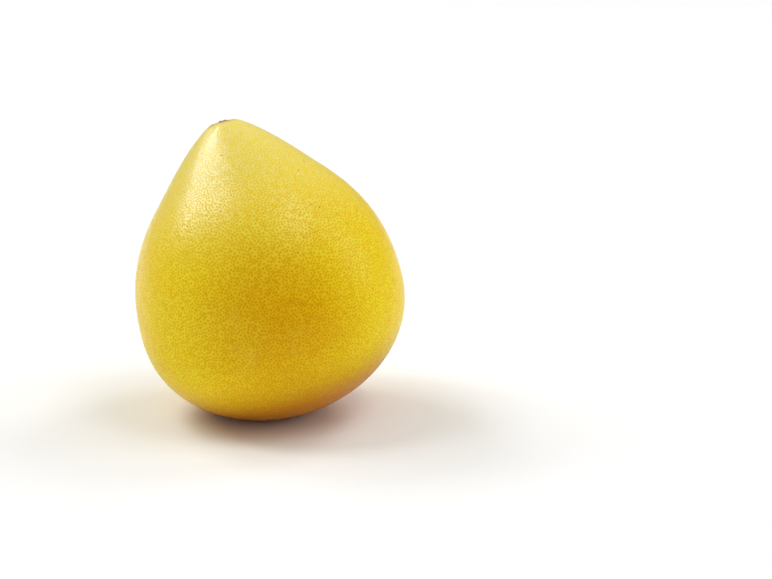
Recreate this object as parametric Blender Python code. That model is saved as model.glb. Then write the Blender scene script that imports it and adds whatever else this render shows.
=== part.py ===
"""A whole pomelo: one heavy pear-shaped fruit and the dried stem button at the tip of its neck.

The fruit stands on the blossom end, a little off centre, so its axis leans to -X and
slightly to +Y. The origin is the centre of the flat it rests on, and +Z is up.
Run it with: blender --background --python part.py
"""

import math

import bmesh
import bpy
import numpy as np
from mathutils import Vector

# The fruit's outline, in metres, measured along and square to its own axis.
# The axis starts at the blossom end (bottom) and ends at the stem end (top).
GIRTH_RADIUS = 0.0750         # widest radius
GIRTH_HEIGHT = 0.0637         # height of the widest ring
BASE_PULL = 0.0369            # how broad the rounded base is
LOWER_FLANK_PULL = 0.0404     # how far the flank stays steep below the girth
UPPER_FLANK_PULL = 0.0374     # and above it
NECK_RADIUS = 0.0440          # a ring on the straight slope of the neck
NECK_HEIGHT = 0.1365
NECK_SLOPE = math.radians(46.5)   # the slope there, from the horizontal
NECK_PULL_DOWN = 0.0219       # length of straight slope below that ring
NECK_PULL_UP = 0.0079         # and above it
TIP_PULL = 0.0137             # how broad the rounded tip is
AXIS_LENGTH = 0.1717          # from the blossom end to where the neck's curves would meet
TIP_FLATTENING = 0.0015       # the skin stops this far short of that, on a flat tip

# Its uneven growth: shallow lobes up the neck, and how it stands.
LOBES = ((3, 0.0060, 0.5), (5, 0.0035, 2.1), (8, 0.0014, 0.9))   # count, share of radius, phase
LEAN_SIDE = math.radians(14.4)    # towards -X
LEAN_BACK = math.radians(6.0)     # towards +Y
REST_SINK = 0.0025            # its weight flattens the round base by this much

# The stem button and the shallow socket it sits in.
BUTTON_RADIUS = 0.0046
BUTTON_LOBES = 5
BUTTON_LOBE_DEPTH = 0.0004
BUTTON_THICKNESS = 0.0007
STUB_RADIUS = 0.0021
STUB_HEIGHT = 0.0003
GAP = 0.0003                  # room between the button and its socket
SOCKET_DEPTH = 0.0014         # below the flat tip
SOCKET_ABOVE = 0.0060         # how far the socket's cutter stands out of the tip

FLAT_TIP_HEIGHT = AXIS_LENGTH - TIP_FLATTENING
SOCKET_FLOOR = FLAT_TIP_HEIGHT - SOCKET_DEPTH

SEGMENTS_ROUND = 72
RINGS_PER_CURVE = 14
POINTS_TO_FIND_CONTACT = 2000
BUTTON_SEGMENTS = 40


def clear_scene():
    for old in list(bpy.data.objects):
        bpy.data.objects.remove(old, do_unlink=True)


def collection(name, hidden=False):
    group = bpy.data.collections.new(name)
    group.hide_render = hidden
    bpy.context.scene.collection.children.link(group)
    return group


def material(name, colour, roughness, metallic=0.0):
    made = bpy.data.materials.new(name)
    made.use_nodes = True
    shader = made.node_tree.nodes["Principled BSDF"]
    shader.inputs["Base Color"].default_value = (*colour, 1.0)
    shader.inputs["Roughness"].default_value = roughness
    shader.inputs["Metallic"].default_value = metallic
    return made


def curve_points(a, b, c, d, count):
    """Points on the cubic curve with ends a and d and handles b and c, without the last one."""
    t = np.linspace(0, 1, count, endpoint=False)[:, None]
    a, b, c, d = (np.array(p, float) for p in (a, b, c, d))
    return (1 - t) ** 3 * a + 3 * (1 - t) ** 2 * t * b + 3 * (1 - t) * t ** 2 * c + t ** 3 * d


def fruit_profile(count=RINGS_PER_CURVE):
    """(radius, height) up the side of the fruit, from the blossom end to its flat tip."""
    up_the_neck = np.array((-math.cos(NECK_SLOPE), math.sin(NECK_SLOPE)))
    base = (0, 0)
    girth = (GIRTH_RADIUS, GIRTH_HEIGHT)
    neck = np.array((NECK_RADIUS, NECK_HEIGHT))
    tip = (0, AXIS_LENGTH)
    below = curve_points(base, (BASE_PULL, 0), (GIRTH_RADIUS, GIRTH_HEIGHT - LOWER_FLANK_PULL),
                         girth, count)
    flank = curve_points(girth, (GIRTH_RADIUS, GIRTH_HEIGHT + UPPER_FLANK_PULL),
                         neck - NECK_PULL_DOWN * up_the_neck, neck, count)
    crown = curve_points(neck, neck + NECK_PULL_UP * up_the_neck, (TIP_PULL, AXIS_LENGTH),
                         tip, count)
    profile = np.vstack([below, flank, crown, [tip]])
    profile[:, 1] = np.minimum(profile[:, 1], FLAT_TIP_HEIGHT)
    return profile


def button_profile():
    """(radius, height) of the dried calyx disc with the stub of the stalk on it."""
    return np.array([
        (0, 0),
        (BUTTON_RADIUS * 0.94, 0),
        (BUTTON_RADIUS, BUTTON_THICKNESS * 0.30),
        (BUTTON_RADIUS * 0.85, BUTTON_THICKNESS * 0.70),
        (STUB_RADIUS * 1.15, BUTTON_THICKNESS),
        (STUB_RADIUS, BUTTON_THICKNESS + STUB_HEIGHT),
        (0, BUTTON_THICKNESS + STUB_HEIGHT * 0.7),
    ])


def turned_mesh(profile, segments, swell):
    """A sphere's grid laid on a turned profile. swell(angle, height) scales each radius."""
    bm = bmesh.new()
    rings = len(profile) - 1
    bmesh.ops.create_uvsphere(bm, u_segments=segments, v_segments=rings, radius=1)
    for vert in bm.verts:
        ring = round((math.pi - math.acos(max(-1, min(1, vert.co.z)))) / math.pi * rings)
        radius, height = profile[ring]
        angle = math.atan2(vert.co.y, vert.co.x)
        radius *= swell(angle, height)
        vert.co = Vector((radius * math.cos(angle), radius * math.sin(angle), height))
    return bm


def fruit_swell(angle, height):
    """Lobes that fade out at both ends of the fruit and are strongest at the foot of the neck."""
    share = height / AXIS_LENGTH
    strength = math.sin(math.pi * share) ** 2
    return 1 + strength * sum(size * math.cos(n * angle + phase) for n, size, phase in LOBES)


def button_swell(angle, height):
    """Shallow notches between the calyx lobes."""
    if height > BUTTON_THICKNESS * 0.9:
        return 1
    return 1 - BUTTON_LOBE_DEPTH / BUTTON_RADIUS * (0.5 - 0.5 * math.cos(BUTTON_LOBES * angle))


def leaned(point):
    """A point of the upright fruit after it leans to the side and then back."""
    x, y, z = point
    side, back = LEAN_SIDE, LEAN_BACK
    x, z = x * math.cos(side) - z * math.sin(side), x * math.sin(side) + z * math.cos(side)
    y, z = y * math.cos(back) + z * math.sin(back), z * math.cos(back) - y * math.sin(back)
    return Vector((x, y, z))


def contact_shift():
    """What moves the leaned fruit so that its lowest point is under the origin, REST_SINK below it.

    That point is on the profile turned straight downhill, where radius * downhill.z plus
    height * axis.z is least. A closely spaced profile finds it.
    """
    axis = leaned((0, 0, 1))
    downhill = (axis * axis.z - Vector((0, 0, 1))).normalized()
    profile = fruit_profile(POINTS_TO_FIND_CONTACT)
    radius, height = profile[np.argmin(profile @ (downhill.z, axis.z))]
    return Vector((0, 0, -REST_SINK)) - axis * height - downhill * radius


def placed(bm, shift):
    """Leans a mesh that was made upright on the fruit's axis, and stands it on its flat."""
    for vert in bm.verts:
        vert.co = leaned(vert.co) + shift
    return bm


def object_from(bm, name, group, look=None):
    bmesh.ops.recalc_face_normals(bm, faces=bm.faces[:])
    mesh = bpy.data.meshes.new(name)
    bm.to_mesh(mesh)
    bm.free()
    mesh.shade_smooth()
    mesh.set_sharp_from_angle(angle=math.radians(40))
    if look:
        mesh.materials.append(look)
    made = bpy.data.objects.new(name, mesh)
    group.objects.link(made)
    return made


def cut_rest_flat(bm):
    """Takes off what hangs below z = 0 and closes it with one flat face."""
    everything = bm.verts[:] + bm.edges[:] + bm.faces[:]
    cut = bmesh.ops.bisect_plane(bm, geom=everything, plane_co=(0, 0, 0), plane_no=(0, 0, 1),
                                 clear_inner=True)
    rim = [item for item in cut["geom_cut"] if isinstance(item, bmesh.types.BMEdge)]
    bmesh.ops.contextual_create(bm, geom=rim)
    return bm


def build_fruit(group, cutters, shift):
    bm = placed(turned_mesh(fruit_profile(), SEGMENTS_ROUND, fruit_swell), shift)
    fruit = object_from(cut_rest_flat(bm), "fruit", group,
                        material("pomelo_peel", (0.76, 0.55, 0.035), 0.42))

    # The socket is a plain round pocket, square to the axis, cut into the tip.
    socket_radius = BUTTON_RADIUS + GAP
    depth = SOCKET_DEPTH + SOCKET_ABOVE
    bm = bmesh.new()
    bmesh.ops.create_cone(bm, cap_ends=True, segments=BUTTON_SEGMENTS, radius1=socket_radius,
                          radius2=socket_radius, depth=depth)
    middle = SOCKET_FLOOR + depth / 2
    bmesh.ops.translate(bm, verts=bm.verts, vec=(0, 0, middle))
    cutter = object_from(placed(bm, shift), "socket_cutter", cutters)
    cutter.hide_render = True
    cutter.display_type = "WIRE"
    pocket = fruit.modifiers.new("stem_socket", "BOOLEAN")
    pocket.object = cutter


def build_button(group, shift):
    bm = turned_mesh(button_profile(), BUTTON_SEGMENTS, button_swell)
    bmesh.ops.translate(bm, verts=bm.verts, vec=(0, 0, SOCKET_FLOOR + GAP))
    object_from(placed(bm, shift), "stem_button", group,
                material("dried_calyx", (0.30, 0.20, 0.09), 0.8))


clear_scene()
pomelo = collection("pomelo")
tools = collection("cutters", hidden=True)
stand = contact_shift()
build_fruit(pomelo, tools, stand)
build_button(pomelo, stand)
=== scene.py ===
"""A whole pear-shaped pomelo, standing on its blossom end.

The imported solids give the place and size; the peel and the stem button made here take
their place. Metres, +Z up, the origin on the flat that the fruit rests on.
"""

import math

import bmesh
import bpy
import numpy as np
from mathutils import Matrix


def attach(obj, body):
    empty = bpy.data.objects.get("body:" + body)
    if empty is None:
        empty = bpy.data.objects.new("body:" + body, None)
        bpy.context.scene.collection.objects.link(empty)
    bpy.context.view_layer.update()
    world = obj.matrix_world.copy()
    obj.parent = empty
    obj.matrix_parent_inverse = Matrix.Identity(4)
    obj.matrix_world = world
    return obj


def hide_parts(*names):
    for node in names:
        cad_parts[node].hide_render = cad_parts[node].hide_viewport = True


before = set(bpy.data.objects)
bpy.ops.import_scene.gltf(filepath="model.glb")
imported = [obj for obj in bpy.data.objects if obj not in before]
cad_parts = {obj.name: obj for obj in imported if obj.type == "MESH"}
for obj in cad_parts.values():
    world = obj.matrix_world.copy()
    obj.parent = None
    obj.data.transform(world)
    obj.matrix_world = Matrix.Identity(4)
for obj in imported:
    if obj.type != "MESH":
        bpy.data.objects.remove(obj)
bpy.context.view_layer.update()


# ---------------------------------------------------------------------------------------
# The peel: the rind of the whole fruit, yellow, waxy and packed with oil glands that show
# as small round golden pits. It grew as one skin round the pith, swollen into shallow
# lobes, drawn up into a neck, and pressed flat where the fruit stands.

# The outline, along and square to the fruit's own axis, from blossom end to stem end.
GIRTH_RADIUS = 0.0750
GIRTH_HEIGHT = 0.0637
BASE_PULL = 0.0369
LOWER_FLANK_PULL = 0.0404
UPPER_FLANK_PULL = 0.0374
NECK_RADIUS = 0.0440
NECK_HEIGHT = 0.1365
NECK_SLOPE = math.radians(46.5)
NECK_PULL_DOWN = 0.0219
NECK_PULL_UP = 0.0079
TIP_PULL = 0.0137
AXIS_LENGTH = 0.1717
TIP_FLATTENING = 0.0015       # the neck ends this far short of its curves' meeting point
TIP_EASE = 0.0011             # how softly the neck turns into its flat tip

LOBES = ((3, 0.0060, 0.5), (5, 0.0035, 2.1), (8, 0.0014, 0.9))   # count, share of radius, phase
LEAN_SIDE = math.radians(14.4)        # towards -X
LEAN_BACK = math.radians(6.0)         # towards +Y
REST_SINK = 0.0025            # its weight flattens the round base by this much
REST_EASE = 0.0008            # how softly the flank turns into the rest flat

TIP_HOLLOW_DEPTH = 0.0009     # the dip that the stem button sits in
TIP_HOLLOW_RADIUS = 0.0058
SCAR_HOLLOW_DEPTH = 0.0006    # the small dip at the blossom end
SCAR_HOLLOW_RADIUS = 0.0040
FURROWS = 9                   # creases that run from the button down the neck
FURROW_WANDER = 0.9           # radians, how unevenly they stand round it
FURROW_TURN = 1.1             # radians
FURROW_DEPTH = 0.00022
FURROW_REACH = 0.030          # how far down the skin they fade out

GLANDS = 26000                # 1.8 mm apart over 740 square centimetres
GLAND_DEPTH = 0.00013         # how deep a pit sits in the skin
GLAND_DEPTHS = (0.6, 1.4)     # the shallowest and the deepest, as shares of that
GLAND_JITTER = 0.42           # of the spacing, before the glands settle apart
GLAND_SETTLING = 2            # times that each moves towards the middle of its neighbours
OUTLINE_POINTS = 3000         # along each of its three curves
SLOPE_STEP = 0.0004           # up and down the skin from where its slope is read


def cubic(a, b, c, d, t):
    """Points at t on the cubic curve with ends a and d and handles b and c."""
    a, b, c, d = (np.array(p, float) for p in (a, b, c, d))
    t = t[:, None]
    return (1 - t) ** 3 * a + 3 * (1 - t) ** 2 * t * b + 3 * (1 - t) * t ** 2 * c + t ** 3 * d


def fade(x):
    """0 up to x = 0, 1 from x = 1, and the smooth step 3x^2 - 2x^3 between."""
    x = np.clip(x, 0, 1)
    return x * x * (3 - 2 * x)


def fruit_outline():
    """Radius and height up the side: three cubic curves, base to girth to neck to tip."""
    t = np.linspace(0, 1, OUTLINE_POINTS, endpoint=False)
    up_the_neck = np.array((-math.cos(NECK_SLOPE), math.sin(NECK_SLOPE)))
    girth = (GIRTH_RADIUS, GIRTH_HEIGHT)
    neck = np.array((NECK_RADIUS, NECK_HEIGHT))
    below = cubic((0, 0), (BASE_PULL, 0), (GIRTH_RADIUS, GIRTH_HEIGHT - LOWER_FLANK_PULL),
                  girth, t)
    flank = cubic(girth, (GIRTH_RADIUS, GIRTH_HEIGHT + UPPER_FLANK_PULL),
                  neck - NECK_PULL_DOWN * up_the_neck, neck, t)
    crown = cubic(neck, neck + NECK_PULL_UP * up_the_neck, (TIP_PULL, AXIS_LENGTH),
                  (0, AXIS_LENGTH), t)
    return np.vstack([below, flank, crown, [(0, AXIS_LENGTH)]]).T


def leaned(points):
    """The points turned to the side about Y and then back about X, as the fruit stands."""
    x, y, z = points.T
    side, back = LEAN_SIDE, LEAN_BACK
    x, z = x * math.cos(side) - z * math.sin(side), x * math.sin(side) + z * math.cos(side)
    y, z = y * math.cos(back) + z * math.sin(back), z * math.cos(back) - y * math.sin(back)
    return np.stack([x, y, z], axis=1)


outline_radius, outline_height = fruit_outline()
outline_steps = np.hypot(np.diff(outline_radius), np.diff(outline_height))
outline_run = np.concatenate([[0], np.cumsum(outline_steps)])     # distance up the skin
mid_radius = (outline_radius[1:] + outline_radius[:-1]) / 2
outline_area = np.concatenate([[0], np.cumsum(2 * np.pi * mid_radius * outline_steps)])
outline_stretch = np.concatenate([[0], np.cumsum(outline_steps / mid_radius)])
MIDDLE_STRETCH = np.interp(outline_area[-1] / 2, outline_area, outline_stretch)

axis = leaned(np.array([[0, 0, 1.0]]))[0]
downhill = axis * axis[2] - (0, 0, 1)
downhill /= np.linalg.norm(downhill)
lowest = np.argmin(outline_radius * downhill[2] + outline_height * axis[2])
STAND = -axis * outline_height[lowest] - downhill * outline_radius[lowest] - (0, 0, REST_SINK)


def skin(run, angle, sink=0):
    """The fruit's surface at a distance up the skin and an angle round the axis.

    The turned outline, flattened at the tip, its radius times one plus a few cosines of the
    angle that fade at both ends, less a hollow at each end. Furrows by the tip and the sink
    asked for go along its normal, which the slope of the outline gives. Then it is leaned,
    stood on its lowest point, and pressed flat on z = 0.
    """
    radius = np.interp(run, outline_run, outline_radius)
    height = np.interp(run, outline_run, outline_height)
    rise = (np.interp(run + SLOPE_STEP, outline_run, outline_height)
            - np.interp(run - SLOPE_STEP, outline_run, outline_height))
    reach = (np.interp(run + SLOPE_STEP, outline_run, outline_radius)
             - np.interp(run - SLOPE_STEP, outline_run, outline_radius))
    size = np.hypot(rise, reach)
    out, up = rise / size, -reach / size

    from_tip = outline_run[-1] - run
    creased = fade(1 - from_tip / FURROW_REACH) * fade(from_tip / TIP_HOLLOW_RADIUS - 0.5)
    ridges = np.cos(FURROWS * angle + FURROW_WANDER * np.cos(2 * angle) + FURROW_TURN)
    sink = sink + FURROW_DEPTH * creased * ridges
    strength = np.sin(np.pi * height / AXIS_LENGTH) ** 2
    swell = sum(share * np.cos(count * angle + phase) for count, share, phase in LOBES)
    hollows = (SCAR_HOLLOW_DEPTH * fade(1 - run / SCAR_HOLLOW_RADIUS)
               - TIP_HOLLOW_DEPTH * fade(3 - 3 * from_tip / TIP_HOLLOW_RADIUS))
    over = np.clip(height - AXIS_LENGTH + TIP_FLATTENING + TIP_EASE, 0, None)
    eased = np.minimum(over, 2 * TIP_EASE)
    height = height - over + eased - eased ** 2 / (4 * TIP_EASE)

    radius = radius * (1 + strength * swell) - sink * out
    height = height + hollows - sink * up
    upright = np.stack([radius * np.cos(angle), radius * np.sin(angle), height], axis=1)
    points = leaned(upright) + STAND
    z = points[:, 2]
    eased = np.clip(z + REST_EASE, 0, 2 * REST_EASE) ** 2 / (4 * REST_EASE)
    points[:, 2] = np.where(z > REST_EASE, z, eased)
    return points


def to_ball(run, angle):
    """The skin mapped to a unit ball without changing small shapes.

    The map that keeps angles takes distance over radius, summed up the skin, to the ball's
    latitude: tan of half the angle from the bottom is e to that sum.
    """
    stretch = np.interp(run, outline_run, outline_stretch) - MIDDLE_STRETCH
    from_bottom = 2 * np.arctan(np.exp(stretch))
    flat = np.sin(from_bottom)
    return np.stack([flat * np.cos(angle), flat * np.sin(angle), -np.cos(from_bottom)], axis=1)


def from_ball(directions):
    """Distance up the skin and angle round the axis, from the same map run backwards."""
    x, y, z = (directions / np.linalg.norm(directions, axis=1)[:, None]).T
    stretch = np.arctanh(np.clip(z, -1 + 1e-12, 1 - 1e-12)) + MIDDLE_STRETCH
    return np.interp(stretch, outline_stretch, outline_run), np.arctan2(y, x)


def neighbour_triangles(directions):
    """Triangles that join each gland to its nearest neighbours: the ball's convex hull."""
    mesh = bpy.data.meshes.new("hull")
    mesh.from_pydata(directions, [], [])
    bm = bmesh.new()
    bm.from_mesh(mesh)
    bmesh.ops.convex_hull(bm, input=bm.verts)
    bmesh.ops.triangulate(bm, faces=bm.faces)
    bm.to_mesh(mesh)
    bm.free()
    mesh.calc_loop_triangles()
    triangles = np.empty(len(mesh.loop_triangles) * 3, np.int32)
    mesh.loop_triangles.foreach_get("vertices", triangles)
    bpy.data.meshes.remove(mesh)
    triangles = triangles.reshape(-1, 3)
    corners = directions[triangles]
    facing = np.cross(corners[:, 1] - corners[:, 0], corners[:, 2] - corners[:, 0])
    inward = np.einsum("ij,ij->i", facing, corners.mean(axis=1)) < 0
    triangles[inward] = triangles[inward][:, ::-1]
    return triangles


def settled(directions):
    """Each gland moved halfway to the middle of its neighbours, as crowding moves them."""
    triangles = neighbour_triangles(directions)
    sums = np.zeros_like(directions)
    counts = np.zeros(len(directions))
    for a, b in ((0, 1), (1, 2), (2, 0)):
        np.add.at(sums, triangles[:, a], directions[triangles[:, b]])
        np.add.at(counts, triangles[:, a], 1)
    moved = 0.5 * directions + 0.5 * sums / np.maximum(counts, 1)[:, None]
    return moved / np.linalg.norm(moved, axis=1)[:, None]


def peel_mesh(rng):
    """Every gland is a shallow pit: a fan of triangles from its sunken middle to its rim.

    The glands start on a golden-angle spiral that gives each the same area, are shaken and
    settled apart, and the middles of the triangles between them are the corners of their rims.
    Each edge between two glands, from one to the other, carries one triangle of the first
    gland's fan, from its middle to the corners right and left of the edge.
    """
    number = np.arange(GLANDS)
    spacing = math.sqrt(outline_area[-1] / GLANDS)
    run = np.interp((number + 0.5) / GLANDS * outline_area[-1], outline_area, outline_run)
    angle = number * np.pi * (3 - math.sqrt(5))
    radius = np.maximum(np.interp(run, outline_run, outline_radius), spacing)
    shake = rng.normal(0, GLAND_JITTER * spacing, (2, GLANDS))
    run = np.clip(run + shake[0], spacing / 3, outline_run[-1] - spacing / 3)
    angle = angle + shake[1] / radius
    directions = to_ball(run, angle)
    for _ in range(GLAND_SETTLING):
        directions = settled(directions)

    triangles = neighbour_triangles(directions)
    ends = np.concatenate([triangles[:, [0, 1]], triangles[:, [1, 2]], triangles[:, [2, 0]]])
    ends = ends.astype(np.int64)
    left = np.tile(np.arange(len(triangles)), 3)
    way_there = ends[:, 0] * GLANDS + ends[:, 1]      # one number for each edge and direction
    way_back = ends[:, 1] * GLANDS + ends[:, 0]
    order = np.argsort(way_there)
    right = left[order[np.searchsorted(way_there[order], way_back)]]

    gland_run, gland_angle = from_ball(directions)
    rim_run, rim_angle = from_ball(directions[triangles].mean(axis=1))
    fate = rng.random(GLANDS)
    middles = skin(gland_run, gland_angle, GLAND_DEPTH * np.interp(fate, (0, 1), GLAND_DEPTHS))
    rims = skin(rim_run, rim_angle)
    faces = np.stack([ends[:, 0], GLANDS + right, GLANDS + left], axis=1)

    mesh = bpy.data.meshes.new("peel")
    mesh.from_pydata(np.vstack([middles, rims]), [], faces)
    mesh.shade_smooth()
    owner = ends[:, 0]
    centre = mesh.attributes.new("gland_centre", "FLOAT_VECTOR", "FACE")
    centre.data.foreach_set("vector", middles[owner].astype(np.float32).ravel())
    chance = mesh.attributes.new("gland_chance", "FLOAT", "FACE")
    chance.data.foreach_set("value", fate[owner].astype(np.float32))
    share = mesh.attributes.new("up_the_skin", "FLOAT", "POINT")
    both = np.concatenate([gland_run, rim_run]) / outline_run[-1]
    share.data.foreach_set("value", both.astype(np.float32))
    return mesh


def linear(code):
    """An sRGB hex colour as linear light, with full alpha."""
    parts = [int(code[i:i + 2], 16) / 255 for i in (1, 3, 5)]
    return (*(p / 12.92 if p <= 0.04045 else ((p + 0.055) / 1.055) ** 2.4 for p in parts), 1.0)


def add(tree, kind, inputs=(), **settings):
    """Adds one node with its settings. Its inputs are given in order, or by name or number.

    An input is linked if it is given a socket or a node, whose first output is meant, and
    set if it is given a value or a hex colour.
    """
    made = tree.nodes.new(kind)
    for name, value in settings.items():
        setattr(made, name, value)
    pairs = inputs.items() if isinstance(inputs, dict) else enumerate(inputs)
    for socket, value in pairs:
        if isinstance(value, bpy.types.Node):
            value = value.outputs[0]
        if isinstance(value, bpy.types.NodeSocket):
            tree.links.new(value, made.inputs[socket])
        else:
            made.inputs[socket].default_value = linear(value) if isinstance(value, str) else value
    return made


def new_material(name):
    """An empty material and its node tree."""
    material = bpy.data.materials.new(name)
    material.use_nodes = True
    material.node_tree.nodes.clear()
    return material, material.node_tree


def layered(tree, colour, layers):
    """The colour with others laid over it in turn, each by its own amount."""
    for amount, over in layers:
        blend = add(tree, "ShaderNodeMix", {0: amount, 6: colour, 7: over}, data_type="RGBA")
        colour = blend.outputs[2]
    return colour


SMOOTH = {"interpolation_type": "SMOOTHSTEP"}     # a range is crossed along a smooth step

# Lemon on the flanks, paler at the neck and there partly a painted sheen, golden on the front right as
# painted shade and painted warm reflected light, deep gold at the base as painted shade.
SKIN_COLOURS = ("#F6DE22", "#F4E180", "#E8B500", "#CA8600")
GLAND_COLOURS = ("#EBB700", "#F0D81E", "#D79200", "#C07200")
WARM_PATCH = "#F3C84A"
BURST_GLAND = "#6E4A12"
TURNED_GLAND = "#DE8A14"
RUST = "#CF9A4A"

# Where these begin and where they are full, as shares of the way up the skin.
# The paler neck is partly the skin's own colour and partly a painted sheen.
PALE_NECK = (0.54, 0.95)
# The deep gold towards the base is painted shade.
BASE_SHADE = (0.35, 0.17)
RUST_RING = (0.960, 0.985)
NECK_WAX = (0.40, 0.75)
PIT_WAX = (0.66, 0.95)

# A spot's colour fades out from its middle to its reach, and noise makes the border wander.
WARM_SHADE_SPOT = (0.014, -0.068, 0.069)   # on the front right: painted shade and painted warm reflected light
WARM_SHADE_REACH = 0.060
WARM_SHADE_WANDER = 0.030
RUST_BELOW_TIP = 0.0065       # a rusty patch beside the stem button, this far down the skin
RUST_ANGLE = math.pi + 0.5    # and round the axis
RUST_REACH = 0.0045
RUST_WANDER = 0.004
RUST_SPOT = skin(np.array([outline_run[-1] - RUST_BELOW_TIP]), np.array([RUST_ANGLE]))[0]

# A gland's dot is full to the first of these distances in millimetres, and gone at the second.
DOT = (0.35, 0.95)
SPECK = (0.15, 0.55)          # the brown middle of a burst gland
DOT_WANDER = 0.7
BURST_SHARE = 0.0003          # of the glands, by chance
TURNED_SHARE = 0.0022

# Scales of the noise: one over the real size in metres of what it draws.
DRIFT_SCALE = 25.0            # 40 mm, the wander of the border of the painted golden shade
PATCH_SCALE = 85.0            # 12 mm, warm patches
RIPPLE_SCALE = 260.0          # 4 mm, unevenness of the skin
UNEVEN_SCALE = 900.0          # 1.1 mm, the shape of a gland
RIPPLE_HEIGHT = 0.12          # millimetres
PIT_HEIGHT = 0.06             # millimetres, on top of the pit that the mesh has


def citrus_rind():
    """Waxed citrus rind, as it grew: a satin skin whose sunken glands read as golden dots."""
    material, tree = new_material("citrus_rind")
    place = add(tree, "ShaderNodeTexCoord").outputs["Object"]
    centre = add(tree, "ShaderNodeAttribute", attribute_name="gland_centre").outputs["Vector"]
    chance = add(tree, "ShaderNodeAttribute", attribute_name="gland_chance").outputs["Fac"]
    upward = add(tree, "ShaderNodeAttribute", attribute_name="up_the_skin").outputs["Fac"]

    # Distance from the gland's middle in millimetres, made uneven so no dot is a true circle.
    away = add(tree, "ShaderNodeVectorMath", (place, centre), operation="DISTANCE").outputs["Value"]
    uneven = add(tree, "ShaderNodeTexNoise", {"Vector": place, "Scale": UNEVEN_SCALE, "Detail": 1.0})
    away = add(tree, "ShaderNodeMath", (away, 1000.0, -DOT_WANDER / 2), operation="MULTIPLY_ADD")
    away = add(tree, "ShaderNodeMath", (uneven, DOT_WANDER, away), operation="MULTIPLY_ADD")
    dot = add(tree, "ShaderNodeMapRange", (away, *DOT, 1.0, 0.0), **SMOOTH)
    strength = add(tree, "ShaderNodeMapRange", (chance, 0.0, 1.0, 0.75, 1.0), **SMOOTH)
    dot = add(tree, "ShaderNodeMath", (dot, strength), operation="MULTIPLY")

    # The colours change up the skin, paler at the neck in part as painted sheen and deep gold at the
    # base as painted shade, and towards a golden spot on the front right, painted shade and painted warm
    # reflected light, whose border wanders.
    drift = add(tree, "ShaderNodeTexNoise", {"Vector": place, "Scale": DRIFT_SCALE, "Detail": 2.0})
    patch = add(tree, "ShaderNodeTexNoise", {"Vector": place, "Scale": PATCH_SCALE, "Detail": 3.0})
    # Painted shade and painted warm reflected light: a golden spot on the front right.
    from_warm_shade = add(tree, "ShaderNodeVectorMath", (place, WARM_SHADE_SPOT), operation="DISTANCE").outputs["Value"]
    from_warm_shade = add(tree, "ShaderNodeMath", (drift, WARM_SHADE_WANDER, from_warm_shade), operation="MULTIPLY_ADD")
    warm_shade_range = (WARM_SHADE_REACH + WARM_SHADE_WANDER / 2, WARM_SHADE_WANDER / 2)
    # Paler towards the neck, partly as painted sheen.
    to_neck = add(tree, "ShaderNodeMapRange", (upward, *PALE_NECK), **SMOOTH)
    warm_shade = add(tree, "ShaderNodeMapRange", (from_warm_shade, *warm_shade_range), **SMOOTH)
    # Painted shade: the base turns deep gold.
    base_shade = add(tree, "ShaderNodeMapRange", (upward, *BASE_SHADE), **SMOOTH)
    changes = (to_neck, warm_shade, base_shade)
    skin_colour = layered(tree, SKIN_COLOURS[0], zip(changes, SKIN_COLOURS[1:]))
    gland_colour = layered(tree, GLAND_COLOURS[0], zip(changes, GLAND_COLOURS[1:]))
    warm = add(tree, "ShaderNodeMapRange", (patch, 0.55, 0.8, 0.0, 0.15), **SMOOTH)

    # A few glands have burst and browned, and more have turned orange.
    speck = add(tree, "ShaderNodeMapRange", (away, *SPECK, 0.85, 0.0), **SMOOTH)
    burst = add(tree, "ShaderNodeMath", (chance, 1 - BURST_SHARE), operation="GREATER_THAN")
    burst = add(tree, "ShaderNodeMath", (burst, speck), operation="MULTIPLY")
    turned = add(tree, "ShaderNodeMath", (chance, TURNED_SHARE), operation="LESS_THAN")
    turned = add(tree, "ShaderNodeMath", (turned, dot), operation="MULTIPLY")

    # Rust where the skin has rubbed and corked: a patch beside the button and a ring round it.
    rub = add(tree, "ShaderNodeVectorMath", (place, RUST_SPOT), operation="DISTANCE").outputs["Value"]
    rub = add(tree, "ShaderNodeMath", (patch, RUST_WANDER, rub), operation="MULTIPLY_ADD")
    rust_range = (RUST_REACH + RUST_WANDER / 2, RUST_WANDER / 2)
    rub = add(tree, "ShaderNodeMapRange", (rub, *rust_range, 0.0, 0.75), **SMOOTH)
    ring = add(tree, "ShaderNodeMapRange", (upward, *RUST_RING, 0.0, 0.45), **SMOOTH)
    rust = add(tree, "ShaderNodeMath", (rub, ring), operation="MAXIMUM")

    # A pit for each gland, and slower unevenness of the skin between them.
    pit = add(tree, "ShaderNodeMapRange", (away, 0.0, 1.0), **SMOOTH)
    pit = add(tree, "ShaderNodeMath", (pit, PIT_HEIGHT), operation="MULTIPLY")
    ripple = add(tree, "ShaderNodeTexNoise", {"Vector": place, "Scale": RIPPLE_SCALE, "Detail": 2.0})
    relief = add(tree, "ShaderNodeMath", (ripple, RIPPLE_HEIGHT, pit), operation="MULTIPLY_ADD")
    bump = add(tree, "ShaderNodeBump", {"Height": relief, "Strength": 1.0, "Distance": 0.001})

    # The wax is thickest and evenest at the neck, and lies thin in the pits.
    wax = add(tree, "ShaderNodeMapRange", (upward, *NECK_WAX, 0.15, 0.60), **SMOOTH)
    pit_wax = add(tree, "ShaderNodeMapRange", (upward, *PIT_WAX, 0.05, 0.38), **SMOOTH)
    gloss = add(tree, "ShaderNodeMix", {0: dot, 2: wax, 3: pit_wax})

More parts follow.
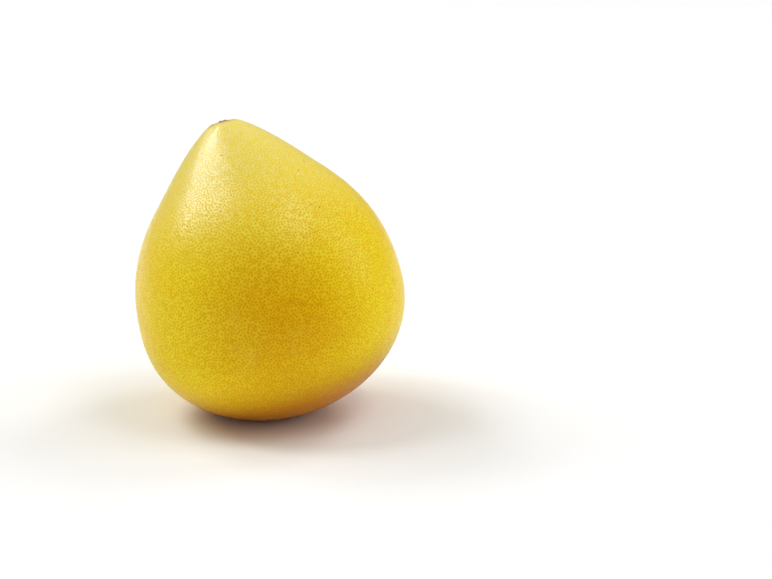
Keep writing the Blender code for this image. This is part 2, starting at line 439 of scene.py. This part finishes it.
    layers = ((dot, gland_colour), (warm, WARM_PATCH), (burst, BURST_GLAND),
              (turned, TURNED_GLAND), (rust, RUST))
    shader = add(tree, "ShaderNodeBsdfPrincipled", {
        "Base Color": layered(tree, skin_colour, layers),
        "Roughness": 0.26,
        "IOR": 1.40,
        "Specular IOR Level": gloss,
        "Normal": bump,
        "Subsurface Weight": 0.12,
        "Subsurface Radius": (1.0, 0.6, 0.15),
        "Subsurface Scale": 0.0015,
    })
    add(tree, "ShaderNodeOutputMaterial", {"Surface": shader})
    return material


def finish_piece(name, mesh, material, node):
    """Puts a finished piece in the scene with its material, hides the imported part it replaces, and
    hangs it on the root body.
    """
    made = bpy.data.objects.new(name, mesh)
    mesh.materials.append(material)
    bpy.context.scene.collection.objects.link(made)
    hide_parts(node)
    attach(made, "root")


finish_piece("peel", peel_mesh(np.random.default_rng(7)), citrus_rind(), "fruit")


# ---------------------------------------------------------------------------------------
# The stem button: the dried calyx, a thin five-lobed disc, with the broken end of the
# stalk standing in its middle. It grew on the tip of the neck and has shrunk and browned.

BUTTON_RADIUS = 0.0046
BUTTON_SINK = 0.0007          # below the flat tip, into its hollow
BUTTON_LEVEL = AXIS_LENGTH - TIP_FLATTENING - BUTTON_SINK     # where its own height is zero
BUTTON_LOBES = 5
NOTCH_DEPTH = 0.20            # between the lobes, of the radius
RIM_RAGGEDNESS = 0.02         # of the radius
SPOKE_HEIGHT = 0.00015
TORN_HEIGHT = 0.00014         # of the stub's broken end
BUTTON_RINGS = 60
BUTTON_SPOKES = 160


def button_mesh():
    """A turned path from the middle of the underside, round the rim, to the middle of the top.

    The path's radius is cut by five notches, which fade towards the middle, and its upper
    side is raised and sunk by spokes. The stub's broken top is a sum of two cosines.
    """
    path = np.array([
        (0, -0.0005), (0.0043, -0.0005), (0.0046, -0.0001), (0.0044, 0.0002), (0.0034, 0.0005),
        (0.0024, 0.00065), (0.0021, 0.00095), (0.0017, 0.00105), (0.0011, 0.0009), (0, 0.0008),
    ])
    run = np.concatenate([[0], np.cumsum(np.hypot(*np.diff(path, axis=0).T))])
    along = np.linspace(0, run[-1], BUTTON_RINGS + 1)[1:-1]
    radius = np.interp(along, run, path[:, 0])[:, None]
    height = np.interp(along, run, path[:, 1])[:, None]
    angle = (np.arange(BUTTON_SPOKES) * 2 * np.pi / BUTTON_SPOKES)[None]

    # How far each point belongs to the outer part, to the upper side and to the stub.
    outer = fade((radius / BUTTON_RADIUS - 0.45) / 0.5)
    upper = fade((height + 0.0003) / 0.0003)
    stub = fade((height - 0.0006) / 0.0003)

    notch = np.abs(np.cos(BUTTON_LOBES / 2 * angle + 0.2 * np.sin(angle))) ** 0.6
    ragged = RIM_RAGGEDNESS * np.cos(11 * angle + 1)
    radius = radius * (1 - outer * (NOTCH_DEPTH * (1 - notch) + ragged))
    spokes = SPOKE_HEIGHT * np.cos(23 * angle + 2 * np.sin(3 * angle)) * fade(radius / 0.0015) * upper
    torn = TORN_HEIGHT * (np.cos(7 * angle + 1) + np.cos(4 * angle + 900 * radius))
    torn = torn * fade(radius / 0.0010)
    height = height + spokes + torn * stub + BUTTON_LEVEL

    grid = np.stack([radius * np.cos(angle), radius * np.sin(angle), height], axis=-1).reshape(-1, 3)
    poles = np.array([(0, 0, BUTTON_LEVEL + path[0, 1]), (0, 0, BUTTON_LEVEL + path[-1, 1])])
    rings = len(along)
    ring, spoke = np.meshgrid(np.arange(rings - 1), np.arange(BUTTON_SPOKES), indexing="ij")
    here = (ring * BUTTON_SPOKES + spoke).ravel()
    beside = (ring * BUTTON_SPOKES + (spoke + 1) % BUTTON_SPOKES).ravel()
    quads = np.stack([here, beside, beside + BUTTON_SPOKES, here + BUTTON_SPOKES], axis=1)
    first = np.arange(BUTTON_SPOKES)
    after = (first + 1) % BUTTON_SPOKES
    under, over = len(grid), len(grid) + 1
    last = (rings - 1) * BUTTON_SPOKES
    caps = [np.stack([np.full_like(first, under), after, first], axis=1),
            np.stack([last + first, last + after, np.full_like(first, over)], axis=1)]
    mesh = bpy.data.meshes.new("stem_button")
    faces = [*quads.tolist(), *caps[0].tolist(), *caps[1].tolist()]
    mesh.from_pydata(leaned(np.vstack([grid, poles])) + STAND, [], faces)
    mesh.shade_smooth()
    return mesh


HEART_HEIGHT = 0.0006         # the inside of the stub
BUTTON_HEART = leaned(np.array([[0, 0, BUTTON_LEVEL + HEART_HEIGHT]]))[0] + STAND
GROOVE = (0.0020, 0.0024, 0.0032)     # its start, middle and end, from there, of the painted shade in the groove
CALYX = "#CDBA8E"
CALYX_MOTTLE = "#B0976C"
TORN_FIBRE = "#DCCBA4"
# The colour of the painted shade in the groove and the stub's heart.
GROOVE_SHADE = "#6B5236"


def dried_calyx():
    """Dried calyx and stalk: dead plant fibre, matt, grey-brown, paler where it has torn."""
    material, tree = new_material("dried_calyx")
    place = add(tree, "ShaderNodeTexCoord").outputs["Object"]
    # Fibres 0.7 mm apart, coarser than real ones so that they show, and mottling 2.4 mm across.
    fibre = add(tree, "ShaderNodeTexNoise", {"Vector": place, "Scale": 1500.0, "Detail": 4.0})
    mottle = add(tree, "ShaderNodeTexNoise", {"Vector": place, "Scale": 420.0, "Detail": 2.0})
    mottled = add(tree, "ShaderNodeMapRange", (mottle, 0.35, 0.65), **SMOOTH)
    torn = add(tree, "ShaderNodeMapRange", (fibre, 0.5, 0.7, 0.0, 0.6), **SMOOTH)

    # Painted shade darkens the groove round the stub and the stub's hollow heart.
    out = add(tree, "ShaderNodeVectorMath", (place, BUTTON_HEART), operation="DISTANCE").outputs["Value"]
    into_groove = add(tree, "ShaderNodeMapRange", (out, *GROOVE[:2], 0.0, 0.7), **SMOOTH)
    past_groove = add(tree, "ShaderNodeMapRange", (out, *GROOVE[1:], 1.0, 0.0), **SMOOTH)
    groove = add(tree, "ShaderNodeMath", (into_groove, past_groove), operation="MULTIPLY")
    heart = add(tree, "ShaderNodeMapRange", (out, 0.0013, 0.0005, 0.0, 0.7), **SMOOTH)
    painted_shade = add(tree, "ShaderNodeMath", (groove, heart), operation="MAXIMUM")

    layers = ((mottled, CALYX_MOTTLE), (torn, TORN_FIBRE), (painted_shade, GROOVE_SHADE))
    bump = add(tree, "ShaderNodeBump", {"Height": fibre, "Strength": 0.8, "Distance": 0.0003})
    shader = add(tree, "ShaderNodeBsdfPrincipled", {
        "Base Color": layered(tree, CALYX, layers),
        "Roughness": 0.8,
        "Normal": bump,
    })
    add(tree, "ShaderNodeOutputMaterial", {"Surface": shader})
    return material


finish_piece("stem_button_detail", button_mesh(), dried_calyx(), "stem_button")


# ---------------------------------------------------------------------------------------
# The studio: a white table that runs on past the view, soft boxes round the fruit, and
# the camera a little above it, with a long lens.

FLOOR_HALF = 4.0
CAMERA_TARGET = (0.0706, 0.0, 0.0704)     # the middle of the view, right of the fruit
CAMERA_DISTANCE = 1.2058
CAMERA_ELEVATION = math.radians(15)
CAMERA_LENS = 100             # millimetres
ROOM_LIGHT = 0.342

floor_mesh = bpy.data.meshes.new("floor")
corners = FLOOR_HALF * np.array([(-1, -1, 0), (1, -1, 0), (1, 1, 0), (-1, 1, 0)])
floor_mesh.from_pydata(corners, [], [(0, 1, 2, 3)])
floor = bpy.data.objects.new("floor", floor_mesh)
bpy.context.scene.collection.objects.link(floor)
white_table, table_tree = new_material("white_table")
table_shader = add(table_tree, "ShaderNodeBsdfPrincipled", {"Base Color": "#FAFAFA", "Roughness": 0.9})
add(table_tree, "ShaderNodeOutputMaterial", {"Surface": table_shader})
floor_mesh.materials.append(white_table)

world = bpy.data.worlds.new("studio")
bpy.context.scene.world = world
world.use_nodes = True
white_room = world.node_tree.nodes["Background"]
white_room.inputs["Color"].default_value = (1, 1, 1, 1)
white_room.inputs["Strength"].default_value = ROOM_LIGHT

# Azimuth and elevation seen from the fruit, width and height in metres, and watts.
SOFT_BOX_DISTANCE = 5.0
LIGHT_TARGET = np.array((0.0, 0.0, 0.08))
SOFT_BOXES = {
    "key_left": (-90, 57, 1.60, 1.40, 39.0),
    "key_high": (-85, 68, 1.20, 1.20, 15.0),
    "sheen_left": (-111, 43, 2.80, 2.50, 104.0),
    "back_left": (-106, 38, 1.50, 1.40, 29.0),
    "back_far_left": (-132, 46, 1.60, 1.50, 47.0),
    "right_front": (50, 58, 1.75, 1.75, 24.0),
    "right_middle": (78, 66, 2.10, 1.90, 27.0),
    "right_back": (130, 45, 1.75, 1.75, 47.0),
    "right_lower": (90, 38, 1.75, 1.75, 16.0),
    "right_low": (93, 18, 2.00, 1.75, 27.0),
    "front_left_low": (-40, 12, 3.00, 1.50, 4.0),
}
SHEEN_ONLY = ("sheen_left",)                      # cool, for the long sheen on the neck's left
NO_SHINE = ("front_left_low", "right_back")       # these light the fruit without a highlight
COOL = (0.68, 0.78, 1.0)

for name, (azimuth, elevation, width, height, watts) in SOFT_BOXES.items():
    turn, climb = math.radians(azimuth), math.radians(elevation)
    toward = (math.sin(turn) * math.cos(climb), -math.cos(turn) * math.cos(climb), math.sin(climb))
    lamp = bpy.data.lights.new(name, "AREA")
    lamp.shape = "RECTANGLE"
    lamp.size = width
    lamp.size_y = height
    lamp.energy = watts
    lamp.color = COOL if name in SHEEN_ONLY else (1.0, 1.0, 1.0)
    box = bpy.data.objects.new(name, lamp)
    box.location = LIGHT_TARGET + np.array(toward) * SOFT_BOX_DISTANCE
    box.rotation_euler = (math.pi / 2 - climb, 0, turn)
    box.visible_glossy = name not in NO_SHINE
    box.visible_diffuse = name not in SHEEN_ONLY
    bpy.context.scene.collection.objects.link(box)

lens = bpy.data.cameras.new("camera")
lens.lens = CAMERA_LENS
camera = bpy.data.objects.new("camera", lens)
camera.location = (CAMERA_TARGET[0],
                   CAMERA_TARGET[1] - CAMERA_DISTANCE * math.cos(CAMERA_ELEVATION),
                   CAMERA_TARGET[2] + CAMERA_DISTANCE * math.sin(CAMERA_ELEVATION))
camera.rotation_euler = (math.pi / 2 - CAMERA_ELEVATION, 0, 0)
bpy.context.scene.collection.objects.link(camera)
bpy.context.scene.camera = camera
bpy.context.scene.view_settings.view_transform = "Standard"
